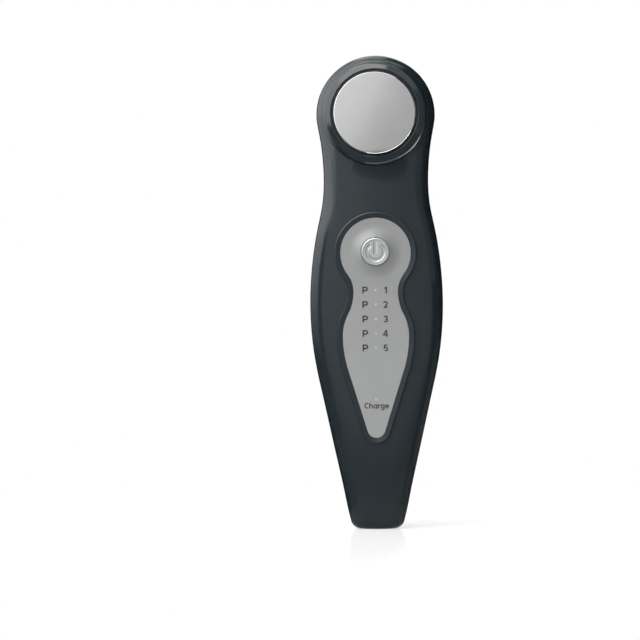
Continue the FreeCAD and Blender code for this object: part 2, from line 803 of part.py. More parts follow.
nodes = {
    "front_cover": front_cover,
    "rear_cover": rear_cover,
    "head_collar": head_collar,
    "head_seal": head_seal,
    "treatment_plate": treatment_plate,
    "plate_gasket": plate_gasket,
    "transducer_disc": transducer_disc,
    "head_clamp_ring": head_clamp_ring,
    "clamp_screws": clamp_screws,
    "control_panel": control_panel,
    "power_button": power_button,
    "switch_body": switch_body,
    "switch_plunger": switch_plunger,
    "programme_light_pipes": programme_light_pipes,
    "charge_light_pipe": charge_light_pipe,
    "programme_leds": programme_leds,
    "charge_led": charge_led,
    "circuit_board": circuit_board,
    "board_screws": board_screws,
    "controller_chip": controller_chip,
    "drive_transformer": drive_transformer,
    "head_connector": head_connector,
    "head_leads": head_leads,
    "battery_pack": battery_pack,
    "battery_pad": battery_pad,
    "battery_connector": battery_connector,
    "battery_leads": battery_leads,
    "charge_socket": charge_socket,
    "socket_pin": socket_pin,
    "socket_contact": socket_contact,
    "case_screws": case_screws,
}

os.makedirs("parts", exist_ok=True)
for name, shape in nodes.items():
    if isinstance(shape, list):
        shape = Part.makeCompound(shape)
    shape.exportStep("parts/" + name + ".step")
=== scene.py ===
import math

import bmesh
import bpy
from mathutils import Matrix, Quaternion, Vector


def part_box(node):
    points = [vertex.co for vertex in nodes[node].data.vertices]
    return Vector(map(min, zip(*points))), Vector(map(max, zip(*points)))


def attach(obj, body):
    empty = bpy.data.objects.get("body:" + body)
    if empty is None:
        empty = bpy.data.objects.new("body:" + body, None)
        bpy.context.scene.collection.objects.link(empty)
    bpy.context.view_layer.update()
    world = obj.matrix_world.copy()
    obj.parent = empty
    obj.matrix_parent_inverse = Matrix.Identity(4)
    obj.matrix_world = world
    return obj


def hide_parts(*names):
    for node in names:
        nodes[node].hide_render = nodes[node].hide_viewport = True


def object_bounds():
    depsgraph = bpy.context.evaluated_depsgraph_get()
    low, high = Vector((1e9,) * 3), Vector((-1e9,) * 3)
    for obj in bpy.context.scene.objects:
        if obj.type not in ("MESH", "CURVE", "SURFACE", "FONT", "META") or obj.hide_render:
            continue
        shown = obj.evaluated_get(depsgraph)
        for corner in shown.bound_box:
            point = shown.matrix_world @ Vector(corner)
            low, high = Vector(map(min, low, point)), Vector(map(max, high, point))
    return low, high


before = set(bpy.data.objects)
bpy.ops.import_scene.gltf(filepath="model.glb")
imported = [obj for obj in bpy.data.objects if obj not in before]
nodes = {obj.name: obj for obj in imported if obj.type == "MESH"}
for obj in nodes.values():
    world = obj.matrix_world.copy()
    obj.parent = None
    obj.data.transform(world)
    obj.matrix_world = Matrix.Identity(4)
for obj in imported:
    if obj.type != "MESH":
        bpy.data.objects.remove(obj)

cad_low, cad_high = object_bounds()
millimetre = 0.001

# Front cover
# The front half of the handle, injection moulded in deep blue-grey ABS with a smooth half-gloss skin.
# It carries the head's shelf, the raised border round the panel and the bosses that take the screws.
casing_colour = (0.0115, 0.0172, 0.0203, 1)
casing_drift = 0.06
casing_gloss = (0.16, 0.20)
casing_grain = 0.28 * millimetre
casing_grain_depth = 0.0022 * millimetre
pigment_patch = 9 * millimetre
film_patch = 14 * millimetre
noise_span = {"From Min": 0.3, "From Max": 0.7}


def add_node(tree, kind, values=None, **settings):
    """A shader node with its settings and its unlinked inputs."""
    made = tree.nodes.new(kind)
    for name, value in settings.items():
        setattr(made, name, value)
    for entry, value in (values or {}).items():
        made.inputs[entry].default_value = value
    return made


def join(tree, source, source_exit, target, entry):
    """Links an output of one node to an input of another."""
    tree.links.new(source.outputs[source_exit], target.inputs[entry])


def new_group(name, entries, exit_name, exit_kind):
    """An empty shader group with its input and output nodes."""
    group = bpy.data.node_groups.new(name, "ShaderNodeTree")
    for label, kind, value in entries:
        socket = group.interface.new_socket(name=label, in_out="INPUT", socket_type=kind)
        socket.default_value = value
    group.interface.new_socket(name=exit_name, in_out="OUTPUT", socket_type=exit_kind)
    return group, add_node(group, "NodeGroupInput"), add_node(group, "NodeGroupOutput")


def spread_noise(tree, entries, size_name, detail):
    """Noise over the piece whose patches have the size that a group's input gives."""
    place = add_node(tree, "ShaderNodeTexCoord")
    per_metre = add_node(tree, "ShaderNodeMath", {0: 1.0}, operation="DIVIDE")
    join(tree, entries, size_name, per_metre, 1)
    noise = add_node(tree, "ShaderNodeTexNoise", {"Detail": detail})
    join(tree, place, "Object", noise, "Vector")
    join(tree, per_metre, "Value", noise, "Scale")
    return noise


def make_mould_grain():
    """Fine grain left by the mould, as a height in metres."""
    group, entries, exits = new_group("mould_grain", [
        ("Grain Size", "NodeSocketFloat", casing_grain),
        ("Grain Depth", "NodeSocketFloat", casing_grain_depth)], "Height", "NodeSocketFloat")
    noise = spread_noise(group, entries, "Grain Size", detail=2.0)
    height = add_node(group, "ShaderNodeMath", operation="MULTIPLY")
    join(group, noise, "Fac", height, 0)
    join(group, entries, "Grain Depth", height, 1)
    join(group, height, "Value", exits, "Height")
    return group


def make_pigment_drift():
    """Slight drift of a colour's strength over the surface."""
    group, entries, exits = new_group("pigment_drift", [
        ("Color", "NodeSocketColor", casing_colour),
        ("Drift", "NodeSocketFloat", casing_drift),
        ("Patch Size", "NodeSocketFloat", pigment_patch)], "Color", "NodeSocketColor")
    noise = spread_noise(group, entries, "Patch Size", detail=4.0)
    least = add_node(group, "ShaderNodeMath", {0: 1.0}, operation="SUBTRACT")
    most = add_node(group, "ShaderNodeMath", {0: 1.0}, operation="ADD")
    strength = add_node(group, "ShaderNodeMapRange", noise_span)
    tint = add_node(group, "ShaderNodeVectorMath", operation="SCALE")
    for edge, entry in ((least, "To Min"), (most, "To Max")):
        join(group, entries, "Drift", edge, 1)
        join(group, edge, "Value", strength, entry)
    join(group, noise, "Fac", strength, "Value")
    join(group, entries, "Color", tint, "Vector")
    join(group, strength, "Result", tint, "Scale")
    join(group, tint, "Vector", exits, "Color")
    return group


def make_handling_film():
    """Roughness that drifts between two values where hands have polished the skin."""
    group, entries, exits = new_group("handling_film", [
        ("Polished", "NodeSocketFloat", casing_gloss[0]),
        ("Dull", "NodeSocketFloat", casing_gloss[1]),
        ("Patch Size", "NodeSocketFloat", film_patch)], "Roughness", "NodeSocketFloat")
    noise = spread_noise(group, entries, "Patch Size", detail=5.0)
    rough = add_node(group, "ShaderNodeMapRange", noise_span)
    join(group, noise, "Fac", rough, "Value")
    join(group, entries, "Polished", rough, "To Min")
    join(group, entries, "Dull", rough, "To Max")
    join(group, rough, "Result", exits, "Roughness")
    return group


mould_grain = make_mould_grain()
pigment_drift = make_pigment_drift()
handling_film = make_handling_film()


def new_finish(name, sockets=None):
    """A material and its shader, with what is the same all over set on the shader."""
    finish = bpy.data.materials.new(name)
    finish.use_nodes = True
    shader = finish.node_tree.nodes["Principled BSDF"]
    for entry, value in (sockets or {}).items():
        shader.inputs[entry].default_value = value
    return finish, finish.node_tree, shader


def place_group(tree, group, values):
    """A shader group set into a material, with its input values."""
    return add_node(tree, "ShaderNodeGroup", values, node_tree=group)


def add_film(tree, shader, gloss):
    """Handling film on a shader, between its polished and its dull roughness."""
    film = place_group(tree, handling_film, {
        "Polished": gloss[0], "Dull": gloss[1], "Patch Size": film_patch})
    join(tree, film, "Roughness", shader, "Roughness")


def add_relief(tree, shader, source, source_exit):
    """Bends a shader's normal by a height in metres."""
    bump = add_node(tree, "ShaderNodeBump", {"Strength": 1.0, "Distance": 1.0})
    join(tree, source, source_exit, bump, "Height")
    join(tree, bump, "Normal", shader, "Normal")


def add_skin(tree, shader, gloss, grain, depth):
    """Handling film and mould grain on a shader."""
    add_film(tree, shader, gloss)
    texture = place_group(tree, mould_grain, {"Grain Size": grain, "Grain Depth": depth})
    add_relief(tree, shader, texture, "Height")


def moulded(name, colour, drift, gloss, grain, depth, sockets=None):
    """Finish of one colour all over, with a film and a grain."""
    finish, tree, shader = new_finish(name, sockets)
    pigment = place_group(tree, pigment_drift, {
        "Color": colour, "Drift": drift, "Patch Size": pigment_patch})
    join(tree, pigment, "Color", shader, "Base Color")
    add_skin(tree, shader, gloss, grain, depth)
    return finish


def dress(finish, *names):
    """Gives built pieces their finish."""
    for name in names:
        for slot in nodes[name].material_slots:
            slot.material = finish


casing_plastic = moulded("casing_plastic", casing_colour, casing_drift, casing_gloss, casing_grain,
                         casing_grain_depth, {"IOR": 1.46})
dress(casing_plastic, "front_cover")

# Head collar
# A turned-looking ring moulded in the same deep blue-grey, pressed into the counterbore of the head.
# Its mould is polished, so it shines more than the handle.
collar_plastic = moulded("collar_plastic", casing_colour, drift=0.04, gloss=(0.13, 0.17),
                         grain=casing_grain, depth=casing_grain_depth / 2, sockets={"IOR": 1.48})
dress(collar_plastic, "head_collar")

# Seal and gasket
# Two black silicone rings, pressed in without glue: one fills the collar's groove round the plate,
# and one lies under the plate's flange. They keep gel and water out of the head.
seal_rubber = moulded("seal_rubber", colour=(0.006, 0.0065, 0.007, 1), drift=0.10, gloss=(0.42, 0.52),
                      grain=0.15 * millimetre, depth=0.003 * millimetre,
                      sockets={"Specular IOR Level": 0.4})
dress(seal_rubber, "head_seal", "plate_gasket")

# Treatment plate
# The round metal face that touches the skin, turned from stainless steel and lapped to a soft polish.
# Lapping leaves it very slightly crowned, with fine turning marks about its centre.
plate_colour = (0.745, 0.745, 0.75, 1)
plate_drift = 0.015
plate_gloss = (0.125, 0.15)
plate_radius = 16.25 * millimetre
plate_crown = 0.16 * millimetre
plate_mark_pitch = 0.11 * millimetre
plate_mark_depth = 0.00002 * millimetre
plate_low, plate_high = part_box("treatment_plate")


def make_axis_distance():
    """Distance from a line that runs front to back through a centre, in metres."""
    group, entries, exits = new_group("axis_distance", [
        ("Centre", "NodeSocketVector", (0, 0, 0))], "Distance", "NodeSocketFloat")
    place = add_node(group, "ShaderNodeTexCoord")
    inward = add_node(group, "ShaderNodeVectorMath", operation="SUBTRACT")
    across = add_node(group, "ShaderNodeVectorMath", {1: (1, 0, 1)}, operation="MULTIPLY")
    distance = add_node(group, "ShaderNodeVectorMath", operation="LENGTH")
    join(group, place, "Object", inward, 0)
    join(group, entries, "Centre", inward, 1)
    join(group, inward, "Vector", across, 0)
    join(group, across, "Vector", distance, 0)
    join(group, distance, "Value", exits, "Distance")
    return group


axis_distance = make_axis_distance()
plate_steel, tree, shader = new_finish("plate_steel", {"Metallic": 1.0})
radius = place_group(tree, axis_distance, {"Centre": (plate_low + plate_high) / 2})
outward = add_node(tree, "ShaderNodeMath", {1: plate_radius}, operation="DIVIDE")
square = add_node(tree, "ShaderNodeMath", {1: 2.0}, operation="POWER")
crown = add_node(tree, "ShaderNodeMath", {1: -plate_crown}, operation="MULTIPLY")
turns = add_node(tree, "ShaderNodeMath", {1: 2 * math.pi / plate_mark_pitch}, operation="MULTIPLY")
ripple = add_node(tree, "ShaderNodeMath", operation="SINE")
marks = add_node(tree, "ShaderNodeMath", {1: plate_mark_depth}, operation="MULTIPLY_ADD")
pigment = place_group(tree, pigment_drift, {
    "Color": plate_colour, "Drift": plate_drift, "Patch Size": pigment_patch})
join(tree, radius, "Distance", outward, 0)
join(tree, outward, "Value", square, 0)
join(tree, square, "Value", crown, 0)
join(tree, radius, "Distance", turns, 0)
join(tree, turns, "Value", ripple, 0)
join(tree, ripple, "Value", marks, 0)
join(tree, crown, "Value", marks, 2)
join(tree, pigment, "Color", shader, "Base Color")
add_relief(tree, shader, marks, "Value")
add_film(tree, shader, plate_gloss)
dress(plate_steel, "treatment_plate")

# Transducer disc
# A pressed and fired disc of lead zirconate ceramic, glued to the back of the plate.
# A silver electrode is printed on it, short of its edge.
ceramic_colour = (0.42, 0.36, 0.25, 1)
ceramic_drift = 0.12
electrode_colour = (0.62, 0.60, 0.56, 1)
electrode_share = 0.9
disc_low, disc_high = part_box("transducer_disc")
electrode_radius = electrode_share * (disc_high.x - disc_low.x) / 2

# Places of a mix node's colour sockets, which share their names with its other kinds
mix_share = 0
mix_first = 6
mix_second = 7
mix_colour = 2

piezo_ceramic, tree, shader = new_finish("piezo_ceramic")
radius = place_group(tree, axis_distance, {"Centre": (disc_low + disc_high) / 2})
printed = add_node(tree, "ShaderNodeMath", {1: electrode_radius}, operation="LESS_THAN")
pigment = place_group(tree, pigment_drift, {
    "Color": ceramic_colour, "Drift": ceramic_drift, "Patch Size": pigment_patch})
coating = add_node(tree, "ShaderNodeMix", {mix_second: electrode_colour}, data_type="RGBA")
join(tree, radius, "Distance", printed, 0)
join(tree, printed, "Value", coating, mix_share)
join(tree, pigment, "Color", coating, mix_first)
join(tree, coating, mix_colour, shader, "Base Color")
join(tree, printed, "Value", shader, "Metallic")
add_skin(tree, shader, gloss=(0.38, 0.50), grain=0.12 * millimetre, depth=0.002 * millimetre)
dress(piezo_ceramic, "transducer_disc")

# Head clamp ring
# A black glass-filled nylon ring that presses the plate's flange against its gasket.
# Three screws hold it to the shelf of the front cover.
black_plastic = moulded("black_plastic", colour=(0.016, 0.016, 0.017, 1), drift=0.12, gloss=(0.40, 0.52),
                        grain=0.20 * millimetre, depth=0.004 * millimetre)
dress(black_plastic, "head_clamp_ring")


# Clamp screws
# Small cross-recess screws for plastic, rolled from steel wire and zinc plated.
# They are driven from the back, before the board goes in.
def metal(name, **look):
    """Finish of a bare or plated metal."""
    return moulded(name, sockets={"Metallic": 1.0}, **look)


screw_steel = metal("screw_steel", colour=(0.52, 0.52, 0.53, 1), drift=0.10, gloss=(0.24, 0.36),
                    grain=0.10 * millimetre, depth=0.001 * millimetre)
dress(screw_steel, "clamp_screws")

# Control panel
# A keyhole-shaped plate moulded in ABS and sprayed silver grey, pressed into the recess in the border.
# A round mound rises towards the button, and six small holes take the light pipes. Its colour is painted
# darker towards the top, as painted shade.
panel_colour = (0.242, 0.245, 0.246, 1)
# Painted shade: the colour darkens to this from a fifth of the panel's height up to its top.
panel_painted_shade_colour = (0.189, 0.191, 0.192, 1)
panel_drift = 0.025
unshaded_share = 0.2
panel_low, panel_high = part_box("control_panel")
shade_start_height = panel_low.z + unshaded_share * (panel_high.z - panel_low.z)

panel_plastic, tree, shader = new_finish("panel_plastic", {"Metallic": 0.12})
# Painted shade: the colour is mixed towards the darker one as the height rises to the panel's top.
place = add_node(tree, "ShaderNodeTexCoord")
split = add_node(tree, "ShaderNodeSeparateXYZ")
rise = add_node(tree, "ShaderNodeMapRange", {"From Min": shade_start_height, "From Max": panel_high.z})
panel_shade_mix = add_node(tree, "ShaderNodeMix", {mix_first: panel_colour, mix_second: panel_painted_shade_colour},
                data_type="RGBA")
pigment = place_group(tree, pigment_drift, {"Drift": panel_drift, "Patch Size": pigment_patch})
join(tree, place, "Object", split, "Vector")
join(tree, split, "Z", rise, "Value")
join(tree, rise, "Result", panel_shade_mix, mix_share)
join(tree, panel_shade_mix, mix_colour, pigment, "Color")
join(tree, pigment, "Color", shader, "Base Color")
add_skin(tree, shader, gloss=(0.44, 0.50), grain=0.22 * millimetre, depth=0.0015 * millimetre)
dress(panel_plastic, "control_panel")

# Printed marks
# Dark ink pad-printed on the panel: a letter and a number beside each programme light,
# and a word under the charge light. The ink lies on the panel's face in strokes of one weight.
ink_depth = 0.012 * millimetre
letter_half = 0.115
number_half = 0.10
legend_half = 0.09
letter_gap = 0.05
tucked = {"r": 0.12}
arc_step = 15
mark_cap = 2.65 * millimetre
letter_offset = 4.18 * millimetre
number_offset = 3.95 * millimetre
legend_cap = 2.35 * millimetre
legend_offset = 0.2 * millimetre
legend_drop = 2.55 * millimetre
pipe_proud = 0.05 * millimetre
pipe_low, pipe_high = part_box("programme_light_pipes")
charge_low, charge_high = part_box("charge_light_pipe")
pipe_radius = (charge_high.x - charge_low.x) / 2
panel_face = charge_low.y + pipe_proud
row_count = 5
row_pitch = (pipe_high.z - pipe_low.z - 2 * pipe_radius) / (row_count - 1)
row_heights = [pipe_high.z - pipe_radius - i * row_pitch for i in range(row_count)]
legend_height = (charge_low.z + charge_high.z) / 2 - legend_drop
print_ink = moulded("print_ink", colour=(0.012, 0.013, 0.015, 1), drift=0.15, gloss=(0.45, 0.60),
                    grain=0.10 * millimetre, depth=0.001 * millimetre)


def bow(u, v, half_width, half_height, start, end):
    """Points along an oval arc, its angles in degrees from the right, turning left."""
    count = max(2, round(abs(end - start) / arc_step))
    angles = [math.radians(start + (end - start) * i / count) for i in range(count + 1)]
    return [(u + half_width * math.cos(a), v + half_height * math.sin(a)) for a in angles]


bowl = bow(0.34, 0.36, 0.25, 0.27, 40, 320)
glyphs = {
    "P": [[(0.09, 0), (0.09, 0.91), (0.45, 0.91)] + bow(0.47, 0.665, 0.25, 0.245, 90, -90)
          + [(0.18, 0.42)]],
    "1": [[(0.34, 0), (0.34, 1)], [(0.06, 0.72), (0.28, 0.88)]],
    "2": [bow(0.355, 0.655, 0.255, 0.255, 165, -40) + [(0.24, 0.09), (0.68, 0.09)]],
    "3": [bow(0.34, 0.705, 0.23, 0.205, 155, -90), bow(0.34, 0.3, 0.255, 0.21, 90, -155)],
    "4": [[(0.58, 0), (0.58, 1)], [(0.51, 0.92), (0.11, 0.28), (0.48, 0.28)],
          [(0.68, 0.28), (0.80, 0.28)]],
    "5": [[(0.62, 0.91), (0.17, 0.91), (0.13, 0.48)] + bow(0.345, 0.33, 0.265, 0.24, 125, -125)],
    "C": [bow(0.43, 0.5, 0.34, 0.41, 48, 312)],
    "h": [[(0.09, 0), (0.09, 1)], [(0.18, 0.44)] + bow(0.355, 0.37, 0.2, 0.26, 150, 0) + [(0.555, 0)]],
    "a": [bowl, [(0.575, 0), (0.575, 0.72)]],
    "r": [[(0.09, 0), (0.09, 0.72)], [(0.18, 0.44)] + bow(0.39, 0.37, 0.22, 0.26, 150, 75)],
    "g": [bowl, [(0.575, 0.72), (0.575, 0)] + bow(0.34, -0.02, 0.235, 0.2, 0, -150)],
    "e": [[(0.18, 0.37), (0.59, 0.37)] + bow(0.345, 0.36, 0.245, 0.27, 15, 320)]}


def glyph_width(character):
    """How far the next letter starts from this one, less where a letter is open on its right."""
    widest = max(u for stroke in glyphs[character] for u, v in stroke)
    return widest + letter_half - tucked.get(character, 0)


def add_stroke(form, stations):
    """Closed stroke through four-cornered stations."""
    rings = [[form.verts.new(p) for p in station] for station in stations]
    for one, other in zip(rings, rings[1:]):
        for i in range(4):
            j = (i + 1) % 4
            form.faces.new((one[i], one[j], other[j], other[i]))
    form.faces.new(rings[0][::-1])
    form.faces.new(rings[-1])


def stroke_sides(stroke, half):
    """The two edges of a stroke of even weight, mitred at its corners."""
    points = [Vector(p) for p in stroke]
    ways = [(b - a).normalized() for a, b in zip(points, points[1:])]
    sides = []
    for point, before, after in zip(points, ways[:1] + ways, ways + ways[-1:]):
        mitre = Vector((-before.y - after.y, before.x + after.x)).normalized()
        reach = half / mitre.dot(Vector((-before.y, before.x)))
        sides.append((point + mitre * reach, point - mitre * reach))
    return sides


def closed_mesh(form, name):
    """A mesh from a form, which is freed."""
    mesh = bpy.data.meshes.new(name)
    form.to_mesh(mesh)
    form.free()
    return mesh


def add_object(name, data):
    """An object in the scene that shows a mesh, a lamp or a camera."""
    made = bpy.data.objects.new(name, data)
    bpy.context.scene.collection.objects.link(made)
    return made


def print_mark(name, words, x, z, cap, half):
    """Words printed on the panel's face, centred at x, with capitals centred on z."""
    form = bmesh.new()
    widths = [glyph_width(c) for c in words]
    start = -(sum(widths) + letter_gap * (len(words) - 1)) / 2
    for character, width in zip(words, widths):
        for stroke in glyphs[character]:
            add_stroke(form, [[(x + (start + p.x) * cap, panel_face + depth, z + (p.y - 0.5) * cap)
                               for p, depth in ((left, -ink_depth), (right, -ink_depth),
                                                (right, ink_depth), (left, ink_depth))]
                              for left, right in stroke_sides(stroke, half)])
        start += width + letter_gap
    bmesh.ops.recalc_face_normals(form, faces=form.faces)
    mark = add_object(name, closed_mesh(form, name))
    mark.data.materials.append(print_ink)
    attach(mark, "casing")


for number, height in enumerate(row_heights, 1):
    print_mark(f"programme_letter_{number}", "P", -letter_offset, height, mark_cap, letter_half)
    print_mark(f"programme_number_{number}", str(number), number_offset, height, mark_cap, number_half)
print_mark("charge_legend", "Charge", legend_offset, legend_height, legend_cap, legend_half)

# Power button
# A round cap in ABS sprayed silver that slides in the panel's hole, with a stem and a hidden flange.
# The power sign is sunk into its dished face by the mould, so the cap is cut here with that sign.
sign_depth = 0.3 * millimetre
sign_overrun = 0.1 * millimetre
sign_wall = 0.38 * millimetre
bar_width = 1.65 * millimetre
bar_top = 4.6 * millimetre
bar_bottom = -0.7 * millimetre
ring_radius = 3.3 * millimetre
ring_width = 1.5 * millimetre
ring_gap = math.radians(38)
ring_steps = 64
button_dish = 0.25 * millimetre
weld_distance = 0.001 * millimetre
crease_angle = math.radians(28)
button_low, button_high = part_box("power_button")
button_height = (button_low.z + button_high.z) / 2
dish_floor = button_low.y + button_dish


def sign_section(half_width):
    """Tapered section of a sunk stroke: (across, depth) corners from front to floor."""
    lean = sign_wall * sign_overrun / sign_depth
    return [(half_width + lean, -sign_overrun), (-half_width - lean, -sign_overrun),
            (sign_wall - half_width, sign_depth), (half_width - sign_wall, sign_depth)]


def make_sign_cutter():
    """The bar and the broken ring that are sunk into the button."""
    form = bmesh.new()
    bar = sign_section(bar_width / 2)
    add_stroke(form, [[(u, dish_floor + v, button_height + z) for u, v in bar]
                      for z in (bar_bottom, bar_top)])
    ring = sign_section(ring_width / 2)
    stations = []
    for i in range(ring_steps + 1):
        turn = ring_gap + (2 * math.pi - 2 * ring_gap) * i / ring_steps
        stations.append([((ring_radius + u) * math.sin(turn), dish_floor + v,
                          button_height + (ring_radius + u) * math.cos(turn)) for u, v in ring])
    add_stroke(form, stations)
    bmesh.ops.recalc_face_normals(form, faces=form.faces)
    return closed_mesh(form, "sign_cutter")


def cut_button():
    """The button's cap with its sign cut in."""
    form = bmesh.new()
    form.from_mesh(nodes["power_button"].data)
    bmesh.ops.remove_doubles(form, verts=form.verts, dist=weld_distance)
    blank_mesh = closed_mesh(form, "button_blank")
    for name in ("custom_normal", "sharp_edge", "sharp_face"):
        if name in blank_mesh.attributes:
            blank_mesh.attributes.remove(blank_mesh.attributes[name])
    blank = add_object("button_blank", blank_mesh)
    cutter = add_object("sign_cutter", make_sign_cutter())
    boolean = blank.modifiers.new("sign", "BOOLEAN")
    boolean.operation = "DIFFERENCE"
    boolean.solver = "EXACT"
    boolean.object = cutter
    ready = blank.evaluated_get(bpy.context.evaluated_depsgraph_get())
    mesh = bpy.data.meshes.new_from_object(ready)
    for made in (blank, cutter):
        bpy.data.objects.remove(made)
    mesh.shade_smooth()
    mesh.set_sharp_from_angle(angle=crease_angle)
    return mesh


button_plastic = moulded("button_plastic", colour=(0.46, 0.47, 0.47, 1), drift=0.02, gloss=(0.31, 0.36),
                         grain=0.20 * millimetre, depth=0.0008 * millimetre, sockets={"Metallic": 0.8})
signed_button = add_object("signed_power_button", cut_button())
signed_button.data.materials.clear()
signed_button.data.materials.append(button_plastic)
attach(signed_button, "button")
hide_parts("power_button")

# Switch body and plunger
# A tact switch soldered to the board under the button: a black moulded box and a white plunger.
# The plunger slides in the box and follows the button's stem.
white_plastic = moulded("white_plastic", colour=(0.70, 0.69, 0.66, 1), drift=0.03, gloss=(0.32, 0.42),
                        grain=0.15 * millimetre, depth=0.0015 * millimetre)
dress(black_plastic, "switch_body")
dress(white_plastic, "switch_plunger")

# Light pipes
# Milky acrylic pins pushed through the panel, one for each programme and one for charging.
# They carry the light of the lamps on the board to the panel's face.
clear_plastic = moulded("clear_plastic", colour=(0.36, 0.365, 0.365, 1), drift=0.03, gloss=(0.26, 0.34),
                        grain=0.30 * millimetre, depth=0.0005 * millimetre,
                        sockets={"Subsurface Weight": 0.2, "Subsurface Scale": 0.5 * millimetre})
dress(clear_plastic, "programme_light_pipes", "charge_light_pipe")

# Indicator lamps
# White-bodied surface-mounted diodes, soldered to the board by machine.
# One sits under each light pipe.
led_body = moulded("led_body", colour=(0.74, 0.71, 0.58, 1), drift=0.06, gloss=(0.35, 0.45),
                   grain=0.10 * millimetre, depth=0.001 * millimetre)
dress(led_body, "programme_leds", "charge_led")

# Circuit board
# Glass-epoxy laminate under green solder mask, with copper tracks that show as paler lines.
# Four screws hold it to bosses inside the front cover.
track_pitch = 1.4 * millimetre
board_green = (0.012, 0.085, 0.040, 1)
track_green = (0.040, 0.170, 0.080, 1)

board_laminate, tree, shader = new_finish("board_laminate")
place = add_node(tree, "ShaderNodeTexCoord")
lie_flat = add_node(tree, "ShaderNodeMapping", {"Rotation": (math.pi / 2, 0, 0)})
tracks = add_node(tree, "ShaderNodeTexBrick", {
    "Color1": board_green, "Color2": board_green, "Mortar": track_green, "Scale": 1 / track_pitch,
    "Mortar Size": 0.06, "Brick Width": 3.5, "Row Height": 1.0})
join(tree, place, "Object", lie_flat, "Vector")
join(tree, lie_flat, "Vector", tracks, "Vector")
join(tree, tracks, "Color", shader, "Base Color")
add_skin(tree, shader, gloss=(0.25, 0.35), grain=0.4 * millimetre, depth=0.004 * millimetre)
dress(board_laminate, "circuit_board")
dress(screw_steel, "board_screws")

# Parts on the board
# A black moulded controller chip, a wound ferrite transformer that drives the head,
# and two white nylon connectors, all soldered to the back of the board.
ferrite = moulded("ferrite", colour=(0.045, 0.043, 0.042, 1), drift=0.30, gloss=(0.50, 0.65),
                  grain=0.30 * millimetre, depth=0.010 * millimetre)
dress(black_plastic, "controller_chip")
dress(ferrite, "drive_transformer")
dress(white_plastic, "head_connector", "battery_connector")

# Leads
# Two pairs of stranded wires in silicone sleeves, one red and one black in each pair.
# They run from the connectors to the transducer disc and to the battery.
sleeve_black = (0.015, 0.015, 0.016, 1)
sleeve_red = (0.420, 0.020, 0.018, 1)
lead_low, lead_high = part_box("head_leads")
pair_middle = (lead_low.x + lead_high.x) / 2

lead_sleeve, tree, shader = new_finish("lead_sleeve")
place = add_node(tree, "ShaderNodeTexCoord")
split = add_node(tree, "ShaderNodeSeparateXYZ")
red_side = add_node(tree, "ShaderNodeMath", {1: pair_middle}, operation="GREATER_THAN")
sleeve = add_node(tree, "ShaderNodeMix", {mix_first: sleeve_black, mix_second: sleeve_red},
                  data_type="RGBA")
join(tree, place, "Object", split, "Vector")
join(tree, split, "X", red_side, 0)
join(tree, red_side, "Value", sleeve, mix_share)
join(tree, sleeve, mix_colour, shader, "Base Color")
add_skin(tree, shader, gloss=(0.35, 0.48), grain=0.25 * millimetre, depth=0.003 * millimetre)
dress(lead_sleeve, "head_leads", "battery_leads")

# Battery and its pad
# A flat lithium cell in a creased foil pouch, laid behind the board,
# and a pad of grey foam that presses it against the rear cover's ribs.
cell_foil = metal("cell_foil", colour=(0.50, 0.52, 0.55, 1), drift=0.08, gloss=(0.22, 0.38),
                  grain=5 * millimetre, depth=0.08 * millimetre)
foam = moulded("foam", colour=(0.060, 0.062, 0.066, 1), drift=0.35, gloss=(0.80, 0.95),
               grain=0.5 * millimetre, depth=0.12 * millimetre)
dress(cell_foil, "battery_pack")
dress(foam, "battery_pad")

# Charging socket
# A round barrel socket in black nylon whose nose looks out of the foot,
# with a nickel-plated centre pin and a spring contact beside the bore.
contact_metal = metal("contact_metal", colour=(0.66, 0.60, 0.48, 1), drift=0.06, gloss=(0.18, 0.28),
                      grain=0.10 * millimetre, depth=0.0008 * millimetre)
dress(black_plastic, "charge_socket")
dress(contact_metal, "socket_pin", "socket_contact")

# Rear cover and case screws
# The back half of the handle, moulded in the same plastic, with a tongue for the front cover's groove.
# Four longer screws in deep wells pull the two covers together.
dress(casing_plastic, "rear_cover")
dress(screw_steel, "case_screws")

# Floor and background
# A plain white sweep. The camera and reflections see it white, with the object's soft shadow
# and a faint mirror image in front of the foot; other light meets a pale matt floor.
floor_reach = 3.0
floor_pale = (0.90, 0.90, 0.90, 1)
shadow_grey = (0.34, 0.34, 0.34, 1)
floor_glow = 0.64
fade_start = 0.10
fade_end = 0.34
mirror_share = 0.22
mirror_blur = 0.12
mirror_core = 0.3
mirror_aside = 0.032
mirror_before = 0.38
mirror_behind = 0.03
fill_level = 0.22
white = (1, 1, 1, 1)


def seen_mask(tree):
    """1 for rays from the camera, and for reflected and refracted ones."""
    path = add_node(tree, "ShaderNodeLightPath")
    either = add_node(tree, "ShaderNodeMath", operation="MAXIMUM")
    seen = add_node(tree, "ShaderNodeMath", operation="MAXIMUM")
    join(tree, path, "Is Camera Ray", either, 0)
    join(tree, path, "Is Glossy Ray", either, 1)
    join(tree, either, "Value", seen, 0)
    join(tree, path, "Is Transmission Ray", seen, 1)
    return seen


